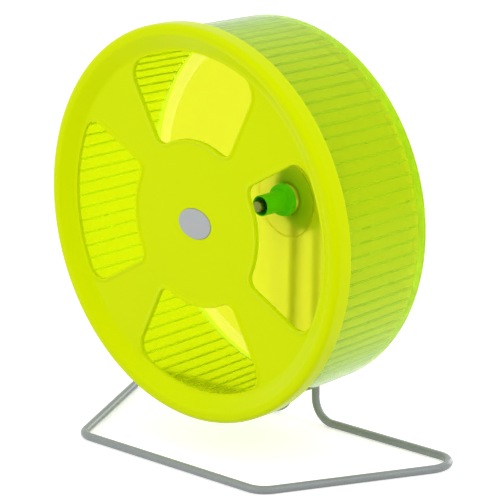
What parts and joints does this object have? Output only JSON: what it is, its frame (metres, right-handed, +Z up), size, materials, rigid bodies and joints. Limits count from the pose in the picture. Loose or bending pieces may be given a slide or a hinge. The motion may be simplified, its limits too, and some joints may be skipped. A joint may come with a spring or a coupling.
{
  "type": "hamster wheel",
  "caption": "Covered running wheel for small pets: a ribbed see-through drum with a windowed front cover turns on a rear axle held by a bent wire stand.",
  "frame": {"origin": "on the floor, under the middle of the object's outline", "axes": "+X to the right as seen from the window side, +Y from the window side to the closed back along the axle, +Z up"},
  "size_m": [0.3046, 0.1538, 0.3076],
  "materials": {
    "front_cover": "opaque lime moulding, glossy",
    "label_plate": "plain silver grey, bare",
    "drum": "see-through lime moulding",
    "green_moulding": "mid green moulding",
    "coated_wire": "silver grey coated wire",
    "steel": "bright steel",
    "spacer": "turned aluminium",
    "nylon": "natural nylon"
  },
  "bodies": {
    "stand": {"wire_stand": "coated_wire", "bracket_front": "green_moulding", "bracket_back": "green_moulding", "bracket_screws": "steel", "axle": "steel", "axle_washer": "steel", "axle_nut": "steel", "inner_spacer": "spacer", "shim_washer": "steel", "retaining_clip": "steel", "front_bearing_inner_ring": "steel", "rear_bearing_inner_ring": "steel"},
    "wheel": {"drum": "drum", "front_cover": "front_cover", "label_plate": "label_plate", "hub": "green_moulding", "outer_spacer": "spacer", "front_bearing_outer_ring": "steel", "front_bearing_shields": "steel", "rear_bearing_outer_ring": "steel", "rear_bearing_shields": "steel"},
    "front_cage": {"front_bearing_cage": "nylon", "front_bearing_balls": "steel"},
    "rear_cage": {"rear_bearing_cage": "nylon", "rear_bearing_balls": "steel"}
  },
  "joints": [
    {"name": "wheel_spin", "type": "hinge", "parent": "stand", "child": "wheel", "pos_m": [0, -0.0492, 0.1676], "axis": [0, 1, 0], "continuous": true},
    {"name": "front_cage_spin", "type": "hinge", "parent": "stand", "child": "front_cage", "pos_m": [0, -0.0492, 0.1676], "axis": [0, 1, 0], "continuous": true},
    {"name": "rear_cage_spin", "type": "hinge", "parent": "stand", "child": "rear_cage", "pos_m": [0, -0.0492, 0.1676], "axis": [0, 1, 0], "continuous": true}
  ],
  "couplings": [
    {"joint": "front_cage_spin", "follows": "wheel_spin", "ratio": 0.59917},
    {"joint": "rear_cage_spin", "follows": "wheel_spin", "ratio": 0.59917}
  ]
}
